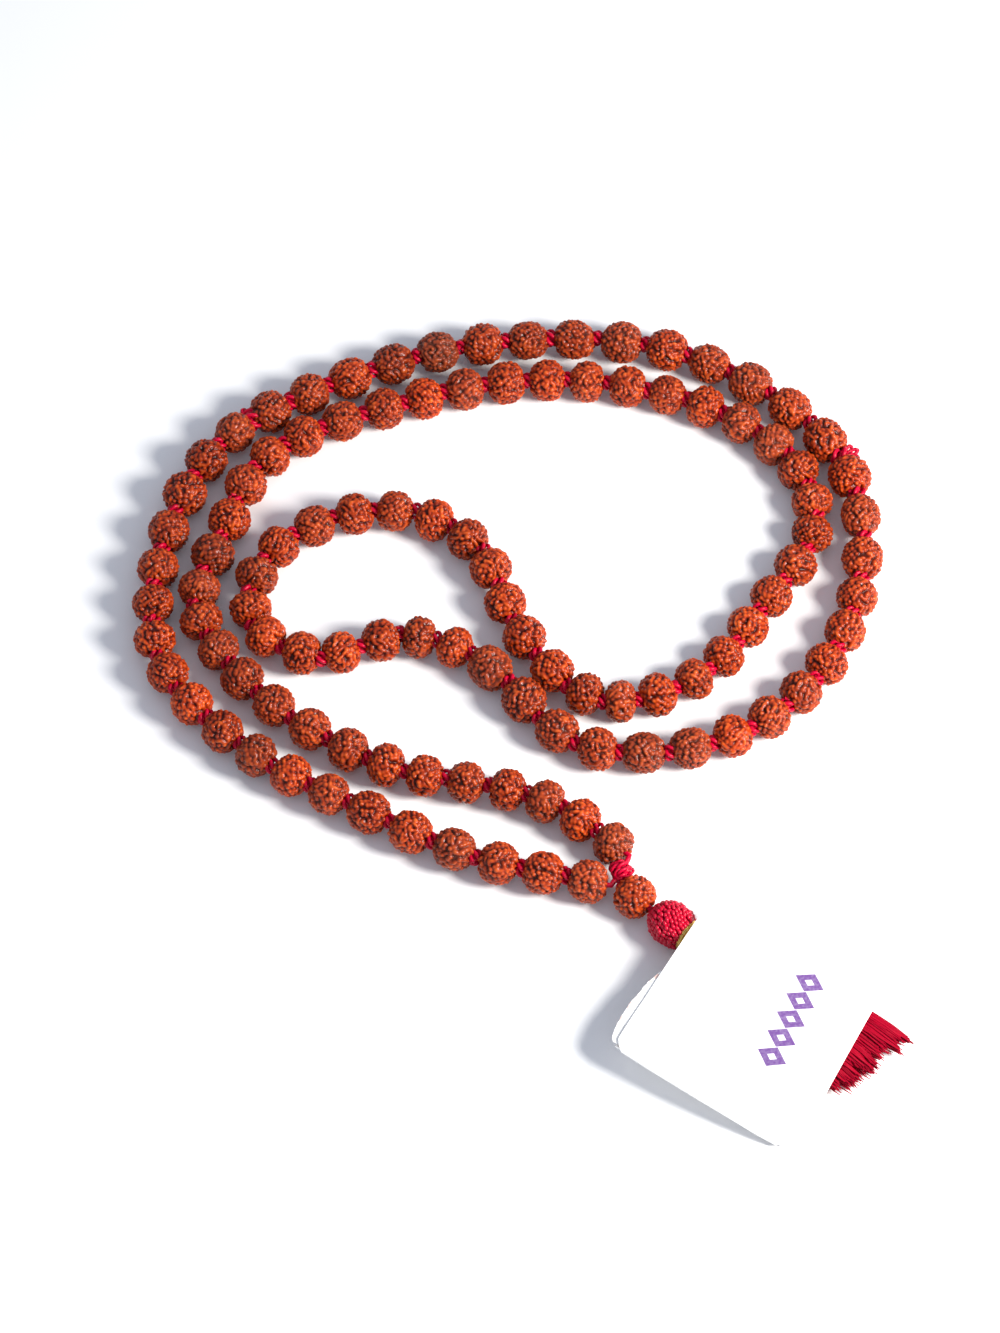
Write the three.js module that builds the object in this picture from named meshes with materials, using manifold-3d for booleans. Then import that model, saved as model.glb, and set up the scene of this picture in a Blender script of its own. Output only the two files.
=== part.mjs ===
// A knotted rudraksha mala lying on a table: 108 beads and a guru bead on one crimson thread, with a
// woven ball, a gold binding, a tassel and a folded card tag. Millimetres, +Z up, table at Z = 0.
import * as THREE from "three";
import { mergeVertices } from "three/addons/utils/BufferGeometryUtils.js";
import Module from "manifold-3d";

const wasm = await Module();
wasm.setup();

// Beads
const BEAD_COUNT = 108;
const BEAD_RADIUS = 4; // over the ridges
const MUKHIS = 5; // natural facets, each a ridge between two grooves
const GROOVE_DEPTH = 0.35;
const BORE_RADIUS = 0.9;
const SHOULDER_RADIUS = 0.72 * BEAD_RADIUS;
const SHOULDER_SHARE = 0.8; // of the half length
const KNOT_GAP = 1.3; // bare thread between two beads, which holds one knot
const GURU_LENGTH = 6.8;

// Thread
const THREAD_RADIUS = 0.5;
const THREAD_SIDES = 8;
const KNOT_RADIUS = 1.2;
const KNOT_HALF_LENGTH = 0.55;
const RUN_NECK_RADIUS = 1.5; // over a knot that joins two beads of a run
const FOLD_CLEARANCE = 0.35; // the thread stops this far from a fold line, on both sides
const TOUCH_GAP = 0.3;

// The knots that set the route, from the join round both rounds and back: [number, x, y].
const ROUTE = [
  [0, 19.0, -34.2], [3, -5.3, -28.4], [6, -28.7, -17.1], [9, -48.8, -5.0], [12, -64.2, 13.6],
  [15, -64.0, 36.6], [18, -54.0, 59.8], [21, -33.4, 72.9], [25, 0.0, 82.9], [29, 34.8, 79.8],
  [31, 50.2, 71.0], [33, 63.2, 57.0], [36, 66.2, 30.2], [39, 57.2, 8.8], [42, 38.1, -4.9],
  [45, 12.8, -4.9], [48, -6.2, 14.2], [50, -19.4, 18.4], [52, -33.9, 13.2], [54, -47.0, 20.1],
  [56, -45.1, 34.5], [58, -32.0, 43.6], [60, -16.8, 44.9], [62, -4.2, 36.2], [64, 1.3, 21.3],
  [67, 17.8, 3.9], [70, 37.8, 10.8], [72, 47.0, 23.3], [75, 58.2, 43.6], [77, 53.3, 57.4],
  [79, 41.2, 66.6], [83, 11.8, 74.2], [87, -19.1, 69.0], [91, -47.0, 54.5], [93, -53.0, 39.3],
  [95, -57.6, 24.4], [97, -51.0, 12.0], [101, -25.3, -8.0], [106, 10.6, -18.4], [108, 22.5, -28.1],
];

// Fold lines run through two knots: each splits the thread there.
const TAIL_FOLD = [4, 103];
const END_FOLD = [1, 106];
const ARC_FOLD = [29, 42];

// Stretches of beads that are joined to one another by their knots, as [first bead, last bead].
const RUNS = [[21, 29], [43, 52], [53, 62], [63, 72], [73, 82], [83, 92], [93, 103]];

// Pendant: the join, the guru bead, the woven ball, the binding and the tassel lie in one line.
const JOIN = new THREE.Vector3(21.0, -31.2, BEAD_RADIUS);
const JOIN_RADIUS = 1.45;
const JOIN_HALF_LENGTH = 1.9;
const JOIN_SEGMENTS = [10, 6];
const GURU = new THREE.Vector3(23.3, -36.5, BEAD_RADIUS);
const PENDANT_AZIMUTH = THREE.MathUtils.degToRad(-40);
// The woven ball's [radius, distance from its centre]: round at the guru bead, flat at the binding.
const BALL_PROFILE = [
  [0, -4], [1.55, -3.7], [2.8, -2.9], [3.65, -1.7], [4, -0.2], [4, 1], [3.75, 2.3], [3.1, 3.1], [0, 3.1],
];
const BALL_SIDES = 20;
const BALL_PITCH = 8.1; // guru centre to ball centre
const BINDING = { inner: 2.3, outer: 3.1, length: 3.2, start: 3.4, sides: 20 };
const TASSEL_THICKNESS = 6.4;
// The tassel's half width at distances from the ball's centre.
const TASSEL_OUTLINE = [[3.4, 1.9], [7.2, 1.9], [9, 3.4], [16, 5.4], [28, 7.4], [40, 8.9], [47, 8.2]];
const TASSEL_SIDES = 16;

// Tag: two leaves of card folded round the tassel, open on the side away from the crease.
const TAG_CORNER = new THREE.Vector3(19.2, -68.1, 0); // where the crease meets the edge near the ball
const TAG_AZIMUTH = THREE.MathUtils.degToRad(-31.3);
const TAG_WIDTH = 37.5; // along the crease
const CARD_THICKNESS = 0.4;
const CREASE_HEIGHT = 4.5; // halfway along it
const CREASE_FALL = 0.13; // for each millimetre away from the ball
const CREASE_REACH = 11; // the slope of the crease fades out this far across the leaves
const TAG_CUT = 2; // cut off the two open corners
const MARGIN = 1; // a cutting shape reaches this far past what it cuts
// The leaves' middle lines halfway along the crease, as [distance from the crease, height].
const COVER_LINE = [[0.6, 5], [5, 6.7], [11, 7.8], [20, 8.2], [30, 8.1], [36, 7.3]];
const BACK_LINE = [[0, CREASE_HEIGHT], [3, 2.6], [8, 0.9], [11, 0.2], [33, 0.2]];
// The cover's lining shows beside its near edge: [distance along the crease, distance from it].
const LINING_EDGE = [[0, 20], [-1.6, 14], [-2.4, 8.7], [-2.1, 4], [-1.7, 1.8], [0, 0.8]];

const SAME_PLACE = 1e-3; // nearer than this, two points of a shape are one

const COLOURS = { bead: 0xa8502a, thread: 0xb5122e, tassel: 0xc0102a, gold: 0xc9a23a, card: 0xf6f5f2 };

function material(color, roughness, metalness = 0) {
  return new THREE.MeshStandardMaterial({ color, roughness, metalness });
}

const beadMaterial = material(COLOURS.bead, 0.5);
const threadMaterial = material(COLOURS.thread, 0.8);
const tasselMaterial = material(COLOURS.tassel, 0.75);
const goldMaterial = material(COLOURS.gold, 0.35, 0.9);
const cardMaterial = material(COLOURS.card, 0.85);

const mala = new THREE.Group();
mala.name = "mala";

function add(name, geometry, meshMaterial, parent = mala) {
  const mesh = new THREE.Mesh(geometry, meshMaterial);
  mesh.name = name;
  parent.add(mesh);
  return mesh;
}

// A geometry with only positions, and its shared vertices merged, as a manifold-3d solid.
function solidOf(geometry) {
  const bare = new THREE.BufferGeometry();
  bare.setAttribute("position", geometry.getAttribute("position"));
  bare.setIndex(geometry.getIndex());
  const merged = mergeVertices(bare, SAME_PLACE);
  const mesh = new wasm.Mesh({
    numProp: 3,
    vertProperties: merged.getAttribute("position").array,
    triVerts: new Uint32Array(merged.getIndex().array),
  });
  return new wasm.Manifold(mesh);
}

function geometryOf(solid) {
  const mesh = solid.getMesh();
  const geometry = new THREE.BufferGeometry();
  geometry.setAttribute("position", new THREE.BufferAttribute(mesh.vertProperties, 3));
  geometry.setIndex(new THREE.BufferAttribute(mesh.triVerts, 1));
  return geometry;
}

// The turn that takes a shape's Y axis to a direction in the table's plane and its Z axis down.
function layAlong(direction, centre) {
  const down = new THREE.Vector3(0, 0, -1);
  const side = new THREE.Vector3().crossVectors(direction, down);
  return new THREE.Matrix4().makeBasis(side, direction, down).setPosition(centre);
}

// A closed profile of [radius, height] pairs turned round the Y axis.
function turned(profile, sides) {
  const points = profile.map(([radius, height]) => new THREE.Vector2(radius, height));
  return new THREE.LatheGeometry(points, sides);
}

// All the knots, 0 to 108. Bead k lies between knots k - 1 and k, and the thread is straight there.
const routePoints = ROUTE.map(([, x, y]) => new THREE.Vector3(x, y, BEAD_RADIUS));
const routeCurve = new THREE.CatmullRomCurve3(routePoints, false, "chordal");
const knots = Array.from({ length: BEAD_COUNT + 1 }, (_, k) => {
  const span = Math.min(ROUTE.findIndex(([number]) => number > k), ROUTE.length - 1) - 1;
  if (span < 0) return routePoints[routePoints.length - 1].clone();
  const [from, to] = [ROUTE[span][0], ROUTE[span + 1][0]];
  return routeCurve.getPoint((span + (k - from) / (to - from)) / (ROUTE.length - 1));
});

// Where a bead lies: its centre, its direction along the thread, and its length between its knots.
function beadPlace(k) {
  const from = knots[k - 1];
  const to = knots[k];
  return {
    centre: from.clone().lerp(to, 0.5),
    direction: to.clone().sub(from).normalize(),
    length: from.distanceTo(to) - KNOT_GAP,
  };
}

// Distances from a line's first point to each of its points.
function distancesAlong(line) {
  const distances = [0];
  for (let i = 1; i < line.length; i++) distances.push(distances[i - 1] + line[i].distanceTo(line[i - 1]));
  return distances;
}

// Bends a shape turned round the Y axis so that its axis follows a line of straight stretches.
function bent(geometry, line) {
  const distances = distancesAlong(line);
  const last = line.length - 1;
  const position = geometry.getAttribute("position");
  const point = new THREE.Vector3();
  for (let i = 0; i < position.count; i++) {
    point.fromBufferAttribute(position, i);
    const at = THREE.MathUtils.clamp(point.y, 0, distances[last]);
    const corner = distances.findIndex((distance) => Math.abs(distance - at) < SAME_PLACE);
    const next = Math.max(1, distances.findIndex((distance) => distance >= at - SAME_PLACE));
    const from = line[corner > 0 ? corner - 1 : next - 1];
    const to = line[corner >= 0 ? Math.min(corner + 1, last) : next];
    const share = (at - distances[next - 1]) / (distances[next] - distances[next - 1]);
    const centre = line[next - 1].clone().lerp(line[next], share);
    point.y = 0;
    point.applyMatrix4(layAlong(to.clone().sub(from).normalize(), centre));
    position.setXYZ(i, point.x, point.y, point.z);
  }
  return geometry;
}

// The outside of a bead that reaches half a length to each side of a place along its axis.
function beadOutline(at, half) {
  const shoulder = SHOULDER_SHARE * half;
  return [[SHOULDER_RADIUS, at - shoulder], [BEAD_RADIUS, at], [SHOULDER_RADIUS, at + shoulder]];
}

// A turned bead, or row of beads, with every second column of its outside drawn in as a groove.
function grooved(profile) {
  const geometry = turned(profile, 2 * MUKHIS);
  const position = geometry.getAttribute("position");
  for (let i = 0; i < position.count; i++) {
    const column = Math.floor(i / profile.length);
    const radius = Math.hypot(position.getX(i), position.getZ(i));
    if (column % 2 === 0 || radius < SHOULDER_RADIUS - GROOVE_DEPTH) continue;
    const scale = 1 - GROOVE_DEPTH / radius;
    position.setX(i, position.getX(i) * scale);
    position.setZ(i, position.getZ(i) * scale);
  }
  return geometry;
}

function beadGeometry(length) {
  const half = length / 2;
  const ends = [[BORE_RADIUS, -half], [BORE_RADIUS, half]];
  return grooved([ends[0], ...beadOutline(0, half), ends[1], ends[0]]);
}

// Beads first to last and the knots between them, as one piece with the thread's bore through it.
function runGeometry(first, last) {
  const line = knots.slice(first - 1, last + 1);
  const distances = distancesAlong(line);
  const total = distances[distances.length - 1];
  const profile = [[BORE_RADIUS, KNOT_GAP / 2]];
  for (let i = 1; i < line.length; i++) {
    const centre = (distances[i - 1] + distances[i]) / 2;
    profile.push(...beadOutline(centre, (distances[i] - distances[i - 1] - KNOT_GAP) / 2));
    if (i < line.length - 1) profile.push([RUN_NECK_RADIUS, distances[i]]);
  }
  profile.push([BORE_RADIUS, total - KNOT_GAP / 2]);
  for (const distance of distances.slice(1, -1).reverse()) profile.push([BORE_RADIUS, distance]);
  profile.push(profile[0]);
  return bent(grooved(profile), line);
}

// One stretch of thread along a line, from gap start to gap end, with a knot at each listed distance
// and a plain bend at each other corner of the line.
function threadGeometry(line, knotted = [], startGap = FOLD_CLEARANCE, endGap = FOLD_CLEARANCE) {
  const distances = distancesAlong(line);
  const end = distances[distances.length - 1] - endGap;
  const profile = [[0, startGap], [THREAD_RADIUS, startGap]];
  distances.slice(1, -1).forEach((distance, i) => {
    if (knotted[i + 1]) {
      profile.push([THREAD_RADIUS, distance - KNOT_HALF_LENGTH], [KNOT_RADIUS, distance]);
      profile.push([THREAD_RADIUS, distance + KNOT_HALF_LENGTH]);
    } else {
      profile.push([THREAD_RADIUS, distance]);
    }
  });
  profile.push([THREAD_RADIUS, end], [0, end]);
  return bent(turned(profile, THREAD_SIDES), line);
}

// True where a run's own neck stands for the knot.
function inRun(k) {
  return RUNS.some(([first, last]) => k >= first && k < last);
}

// The thread from knot first to knot last, with a knot on it wherever no run of beads holds one.
function strandGeometry(first, last) {
  const numbers = Array.from({ length: last - first + 1 }, (_, i) => first + i);
  return threadGeometry(numbers.map((k) => knots[k]), numbers.map((k) => !inRun(k)));
}

const pad = (k) => String(k).padStart(3, "0");

for (let k = 1; k <= BEAD_COUNT; k++) {
  if (RUNS.some(([first, last]) => k >= first && k <= last)) continue;
  const { centre, direction, length } = beadPlace(k);
  const bead = add(`bead_${pad(k)}`, beadGeometry(length), beadMaterial);
  bead.applyMatrix4(layAlong(direction, centre));
}

for (const [first, last] of RUNS) {
  add(`bead_run_${pad(first)}_${pad(last)}`, runGeometry(first, last), beadMaterial);
}

// The thread, split where the mala folds. Its two ends go into the join.
const endNear = [JOIN, knots[0], knots[1]];
const endFar = [...knots.slice(END_FOLD[1]), JOIN];
const joinGap = JOIN_HALF_LENGTH + TOUCH_GAP;
const threads = {
  thread_outer_left: strandGeometry(TAIL_FOLD[0], ARC_FOLD[0]),
  thread_outer_right: strandGeometry(ARC_FOLD[0], ARC_FOLD[1]),
  thread_inner: strandGeometry(ARC_FOLD[1], TAIL_FOLD[1]),
  thread_tail_near: strandGeometry(END_FOLD[0], TAIL_FOLD[0]),
  thread_tail_far: strandGeometry(TAIL_FOLD[1], END_FOLD[1]),
  thread_end_near: threadGeometry(endNear, [], joinGap),
  thread_end_far: threadGeometry(endFar, [false, true], FOLD_CLEARANCE, joinGap),
};
for (const [name, geometry] of Object.entries(threads)) add(name, geometry, threadMaterial);

// The pendant
const pendantDirection = new THREE.Vector3(Math.cos(PENDANT_AZIMUTH), Math.sin(PENDANT_AZIMUTH), 0);
const alongPendant = (distance) => GURU.clone().addScaledVector(pendantDirection, distance);
const guruReach = GURU_LENGTH / 2 + KNOT_GAP / 2;

const joinDirection = alongPendant(-guruReach).sub(JOIN).normalize();
const joinKnot = new THREE.SphereGeometry(JOIN_RADIUS, ...JOIN_SEGMENTS);
joinKnot.scale(1, JOIN_HALF_LENGTH / JOIN_RADIUS, 1);
add("join_knot", joinKnot, threadMaterial).applyMatrix4(layAlong(joinDirection, JOIN));

const guruBead = add("guru_bead", beadGeometry(GURU_LENGTH), beadMaterial);
guruBead.applyMatrix4(layAlong(pendantDirection, GURU));

const guruLine = [alongPendant(-guruReach), alongPendant(guruReach)];
add("thread_guru", threadGeometry(guruLine), threadMaterial);

const ballCentre = alongPendant(BALL_PITCH);
const ballAssembly = new THREE.Group();
ballAssembly.applyMatrix4(layAlong(pendantDirection, ballCentre));
mala.add(ballAssembly);

add("woven_ball", turned(BALL_PROFILE, BALL_SIDES), threadMaterial, ballAssembly);

function bindingGeometry({ inner, outer, length, start, sides }) {
  const end = start + length;
  const profile = [[inner, start], [outer, start], [outer, end], [inner, end], [inner, start]];
  return turned(profile, sides);
}

add("gold_binding", bindingGeometry(BINDING), goldMaterial, ballAssembly);

// A turned outline, pressed flat wherever it is thicker than the tassel lies.
function tasselGeometry() {
  const first = TASSEL_OUTLINE[0];
  const last = TASSEL_OUTLINE[TASSEL_OUTLINE.length - 1];
  const profile = [[0, first[0]], ...TASSEL_OUTLINE.map(([at, radius]) => [radius, at]), [0, last[0]]];
  const geometry = turned(profile, TASSEL_SIDES);
  const position = geometry.getAttribute("position");
  for (let i = 0; i < position.count; i++) {
    const radius = Math.hypot(position.getX(i), position.getZ(i));
    const thickness = Math.min(1, TASSEL_THICKNESS / 2 / Math.max(radius, SAME_PLACE));
    position.setZ(i, position.getZ(i) * thickness);
  }
  return geometry;
}

add("tassel", tasselGeometry(), tasselMaterial, ballAssembly);

// The tag's group: X runs along the crease away from the ball, Y from the crease to the open side.
const tag = new THREE.Group();
tag.position.copy(TAG_CORNER);
tag.rotation.z = TAG_AZIMUTH;
mala.add(tag);

// A leaf of card whose section follows a line in the group's YZ plane, cut to its outline, and then
// sloped with the crease. The leaf starts at X = -reach.
function leafGeometry(line, nearEdge = [], reach = 0) {
  const half = CARD_THICKNESS / 2;
  const side = (offset) => line.map(([y, z]) => new THREE.Vector2(y, z + offset));
  const section = new THREE.Shape([...side(-half), ...side(half).reverse()]);
  const sheet = new THREE.ExtrudeGeometry(section, { depth: TAG_WIDTH + reach, bevelEnabled: false });
  // The section is drawn in XY and extruded along Z: turn it so that those are Y, Z and X.
  sheet.applyMatrix4(new THREE.Matrix4().set(0, 0, 1, -reach, 1, 0, 0, 0, 0, 1, 0, 0, 0, 0, 0, 1));
  const ends = line.map(([y]) => y);
  const outline = leafOutline(Math.min(...ends), Math.max(...ends), nearEdge);
  return sloped(geometryOf(solidOf(sheet).intersect(solidOf(outline))));
}

// A prism over the leaf's plan, taller than the leaf on both sides, with its two open corners cut off.
function leafOutline(from, to, nearEdge) {
  const cut = TAG_CUT;
  const crease = from - MARGIN;
  const creaseSide = [[0, crease], [TAG_WIDTH, crease]];
  const openSide = [[TAG_WIDTH, to - cut], [TAG_WIDTH - cut, to], [cut, to], [0, to - cut]];
  const plan = [...creaseSide, ...openSide, ...nearEdge];
  const shape = new THREE.Shape(plan.map(([x, y]) => new THREE.Vector2(x, y)));
  const prism = new THREE.ExtrudeGeometry(shape, { depth: TAG_WIDTH, bevelEnabled: false });
  return prism.translate(0, 0, -MARGIN);
}

// Shears a leaf so that the crease falls away from the ball.
function sloped(geometry) {
  const position = geometry.getAttribute("position");
  for (let i = 0; i < position.count; i++) {
    const share = Math.max(0, 1 - position.getY(i) / CREASE_REACH);
    const rise = CREASE_FALL * (TAG_WIDTH / 2 - position.getX(i)) * share;
    position.setZ(i, position.getZ(i) + rise);
  }
  return geometry;
}

const liningReach = -Math.min(...LINING_EDGE.map(([x]) => x));
add("tag_cover", leafGeometry(COVER_LINE, LINING_EDGE, liningReach), cardMaterial, tag);
add("tag_back", leafGeometry(BACK_LINE), cardMaterial, tag);

export default mala;
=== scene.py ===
# A knotted rudraksha mala laid out on a pale table: 108 seed beads and a guru bead on a crimson thread,
# with a woven ball, a gold binding, a tassel and a folded card tag.
import math

import bpy
import numpy as np
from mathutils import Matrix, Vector


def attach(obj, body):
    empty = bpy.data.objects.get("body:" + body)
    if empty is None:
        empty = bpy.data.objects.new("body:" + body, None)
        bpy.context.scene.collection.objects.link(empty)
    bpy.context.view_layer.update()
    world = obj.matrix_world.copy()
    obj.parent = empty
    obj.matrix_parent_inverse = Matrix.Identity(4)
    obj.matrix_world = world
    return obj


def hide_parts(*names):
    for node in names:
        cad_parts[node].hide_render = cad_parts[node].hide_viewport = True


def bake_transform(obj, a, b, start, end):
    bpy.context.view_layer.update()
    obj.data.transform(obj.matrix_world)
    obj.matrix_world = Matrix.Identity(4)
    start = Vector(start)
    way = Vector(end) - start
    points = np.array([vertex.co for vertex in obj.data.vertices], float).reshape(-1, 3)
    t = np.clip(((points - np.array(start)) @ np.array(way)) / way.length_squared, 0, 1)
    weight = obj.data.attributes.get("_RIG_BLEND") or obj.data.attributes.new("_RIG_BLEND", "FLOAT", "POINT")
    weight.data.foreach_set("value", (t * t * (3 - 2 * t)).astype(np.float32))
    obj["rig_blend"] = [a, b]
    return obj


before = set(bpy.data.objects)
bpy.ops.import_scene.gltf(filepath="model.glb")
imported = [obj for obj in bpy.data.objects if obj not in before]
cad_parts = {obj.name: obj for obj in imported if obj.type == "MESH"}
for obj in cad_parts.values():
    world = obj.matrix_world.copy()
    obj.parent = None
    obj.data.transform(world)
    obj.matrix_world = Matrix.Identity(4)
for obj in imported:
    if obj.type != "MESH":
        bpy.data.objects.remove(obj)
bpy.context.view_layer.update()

MM = 0.001
RNG = np.random.default_rng(108)
DETAIL = 32  # quads along each edge of a bead's six patches

# ------------------------------------------------------------------ sizes, in millimetres, as in the CAD
BEAD_COUNT = 108
BEAD_RADIUS = 4.0
KNOT_GAP = 1.3
THREAD_RADIUS = 0.5
ROUTE = [
    (0, 19.0, -34.2), (3, -5.3, -28.4), (6, -28.7, -17.1), (9, -48.8, -5.0), (12, -64.2, 13.6),
    (15, -64.0, 36.6), (18, -54.0, 59.8), (21, -33.4, 72.9), (25, 0.0, 82.9), (29, 34.8, 79.8),
    (31, 50.2, 71.0), (33, 63.2, 57.0), (36, 66.2, 30.2), (39, 57.2, 8.8), (42, 38.1, -4.9),
    (45, 12.8, -4.9), (48, -6.2, 14.2), (50, -19.4, 18.4), (52, -33.9, 13.2), (54, -47.0, 20.1),
    (56, -45.1, 34.5), (58, -32.0, 43.6), (60, -16.8, 44.9), (62, -4.2, 36.2), (64, 1.3, 21.3),
    (67, 17.8, 3.9), (70, 37.8, 10.8), (72, 47.0, 23.3), (75, 58.2, 43.6), (77, 53.3, 57.4),
    (79, 41.2, 66.6), (83, 11.8, 74.2), (87, -19.1, 69.0), (91, -47.0, 54.5), (93, -53.0, 39.3),
    (95, -57.6, 24.4), (97, -51.0, 12.0), (101, -25.3, -8.0), (106, 10.6, -18.4), (108, 22.5, -28.1),
]
TAIL_FOLD = (4, 103)
END_FOLD = (1, 106)
ARC_FOLD = (29, 42)
RUNS = [(21, 29), (43, 52), (53, 62), (63, 72), (73, 82), (83, 92), (93, 103)]
JOIN = np.array([21.0, -31.2, BEAD_RADIUS])
GURU = np.array([23.3, -36.5, BEAD_RADIUS])
GURU_LENGTH = 6.8
PENDANT_AZIMUTH = math.radians(-40)
BALL_PITCH = 8.1
TAG_CORNER = np.array([19.2, -68.1, 0.0])
TAG_AZIMUTH = math.radians(-31.3)
TAG_WIDTH = 37.5


# ------------------------------------------------------------------ small helpers
def unit(v):
    v = np.asarray(v, float)
    return v / np.linalg.norm(v, axis=-1, keepdims=True)


def add_piece(name, verts, faces, material, attributes=None, smooth=True):
    """A mesh object from vertices in millimetres in the row frame, with optional float attributes.

    faces is a list of index arrays, each with one column for every corner its faces have.
    """
    mesh = bpy.data.meshes.new(name)
    blocks = [np.asarray(block) for block in faces]
    corners = np.concatenate([block.ravel() for block in blocks])
    counts = np.concatenate([np.full(len(block), block.shape[1]) for block in blocks])
    mesh.vertices.add(len(verts))
    mesh.vertices.foreach_set("co", (np.asarray(verts) * MM).ravel())
    mesh.loops.add(len(corners))
    mesh.loops.foreach_set("vertex_index", corners)
    mesh.polygons.add(len(counts))
    mesh.polygons.foreach_set("loop_start", np.cumsum(counts) - counts)
    mesh.update(calc_edges=True)
    if smooth:
        mesh.shade_smooth()
    for key, values in (attributes or {}).items():
        layer = mesh.attributes.new(key, "FLOAT", "POINT")
        layer.data.foreach_set("value", np.asarray(values, np.float32))
    mesh.materials.append(material)
    piece = bpy.data.objects.new(name, mesh)
    bpy.context.scene.collection.objects.link(piece)
    return piece


class Mesh:
    """Vertices, faces and float attributes gathered from several shapes."""

    def __init__(self):
        self.verts, self.faces, self.attributes, self.count = [], [], {}, 0

    def add(self, verts, faces, **attributes):
        verts = np.asarray(verts, float)
        self.verts.append(verts)
        self.faces.extend(np.asarray(block) + self.count for block in faces)
        for key, value in attributes.items():
            self.attributes.setdefault(key, []).append(np.broadcast_to(value, len(verts)))
        self.count += len(verts)

    def piece(self, name, material):
        attributes = {key: np.concatenate(values) for key, values in self.attributes.items()}
        return add_piece(name, np.concatenate(self.verts), self.faces, material, attributes)


def frames_along(points, closed=False):
    """Directions, and two normals that don't twist, at each point of a line."""
    points = np.asarray(points, float)
    if closed:
        tangents = unit(np.roll(points, -1, 0) - np.roll(points, 1, 0))
    else:
        tangents = unit(np.gradient(points, axis=0))
    helper = np.array([0, 0, 1.0]) if abs(tangents[0][2]) < 0.9 else np.array([1.0, 0, 0])
    normal = unit(np.cross(np.cross(tangents[0], helper), tangents[0]))
    normals = []
    for t in tangents:
        normal = unit(normal - t * (normal @ t))
        normals.append(normal)
    normals = np.array(normals)
    return tangents, normals, np.cross(tangents, normals)


def tube(points, radius, sides, closed=False, plies=0, lay=3.0, relief=0.14):
    """A tube along a line. plies turns it into a twisted thread of that many strands, one turn each lay."""
    points = np.asarray(points, float)
    tangents, normals, sideways = frames_along(points, closed)
    along = np.concatenate([[0], np.cumsum(np.linalg.norm(np.diff(points, axis=0), axis=1))])
    angle = np.arange(sides) * 2 * math.pi / sides
    radius = np.broadcast_to(radius, len(points))[:, None]
    if plies:
        phase = plies * (angle[None, :] - 2 * math.pi * along[:, None] / lay)
        radius = radius * (1 - relief + relief * np.abs(np.cos(phase / 2)) * 2)
    cos, sin = np.cos(angle)[None, :, None], np.sin(angle)[None, :, None]
    ring = normals[:, None, :] * cos + sideways[:, None, :] * sin
    verts = (points[:, None, :] + ring * np.broadcast_to(radius, ring.shape[:2])[:, :, None]).reshape(-1, 3)
    faces = lofted(len(points), sides)
    if closed:
        last = (len(points) - 1) * sides
        side = np.arange(sides)
        after = (side + 1) % sides
        faces = [faces[0], np.stack([last + side, last + after, after, side], axis=1)]
    return verts, faces


def lofted(rings, sides):
    """Faces over rings of vertices with the same number of sides, and a cap at each end."""
    start = np.arange(rings - 1)[:, None] * sides
    side = np.arange(sides)
    after = (side + 1) % sides
    quads = np.stack([start + side, start + after, start + sides + after, start + sides + side], axis=2)
    return [quads.reshape(-1, 4), np.array([side[::-1], (rings - 1) * sides + side])]


def resample(points, step):
    """A line's points at even steps, with both its ends."""
    points = np.asarray(points, float)
    along = np.concatenate([[0], np.cumsum(np.linalg.norm(np.diff(points, axis=0), axis=1))])
    at = np.linspace(0, along[-1], max(2, int(round(along[-1] / step)) + 1))
    return np.stack([np.interp(at, along, points[:, i]) for i in range(3)], axis=1)


def basis(axis, roll):
    """A rotation whose third column is axis, turned about it by roll."""
    axis = unit(axis)
    helper = np.array([0, 0, 1.0]) if abs(axis[2]) < 0.9 else np.array([1.0, 0, 0])
    u = unit(np.cross(helper, axis))
    v = np.cross(axis, u)
    c, s = math.cos(roll), math.sin(roll)
    return np.stack([u * c + v * s, v * c - u * s, axis], axis=1)


# ------------------------------------------------------------------ the string's route, as in the CAD
def route_point(t):
    """The chordal Catmull-Rom curve through the route's points, t from 0 to 1."""
    points = np.array([(x, y, BEAD_RADIUS) for _, x, y in ROUTE])
    last = len(points) - 1
    at = min(max(t, 0), 1) * last
    i = min(int(at), last - 1)
    w = at - i
    p1, p2 = points[i], points[i + 1]
    p0 = points[i - 1] if i > 0 else 2 * p1 - p2
    p3 = points[i + 2] if i + 2 <= last else 2 * p2 - p1
    d0, d1, d2 = (np.linalg.norm(b - a) for a, b in ((p0, p1), (p1, p2), (p2, p3)))
    t1 = ((p1 - p0) / d0 - (p2 - p0) / (d0 + d1) + (p2 - p1) / d1) * d1
    t2 = ((p2 - p1) / d1 - (p3 - p1) / (d1 + d2) + (p3 - p2) / d2) * d1
    return p1 + t1 * w + (3 * (p2 - p1) - 2 * t1 - t2) * w**2 + (2 * (p1 - p2) + t1 + t2) * w**3


def knot_point(k):
    numbers = [number for number, _, _ in ROUTE]
    span = max(i for i in range(len(numbers) - 1) if numbers[i] <= k)
    share = (k - numbers[span]) / (numbers[span + 1] - numbers[span])
    return route_point((span + share) / (len(numbers) - 1))


KNOTS = [knot_point(k) for k in range(BEAD_COUNT + 1)]
PENDANT = np.array([math.cos(PENDANT_AZIMUTH), math.sin(PENDANT_AZIMUTH), 0])
PENDANT_LEFT = np.array([-PENDANT[1], PENDANT[0], 0])
UP = np.array([0, 0, 1.0])
BALL = GURU + BALL_PITCH * PENDANT
TAG_ALONG = np.array([math.cos(TAG_AZIMUTH), math.sin(TAG_AZIMUTH), 0])
TAG_ACROSS = np.array([-TAG_ALONG[1], TAG_ALONG[0], 0])


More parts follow.
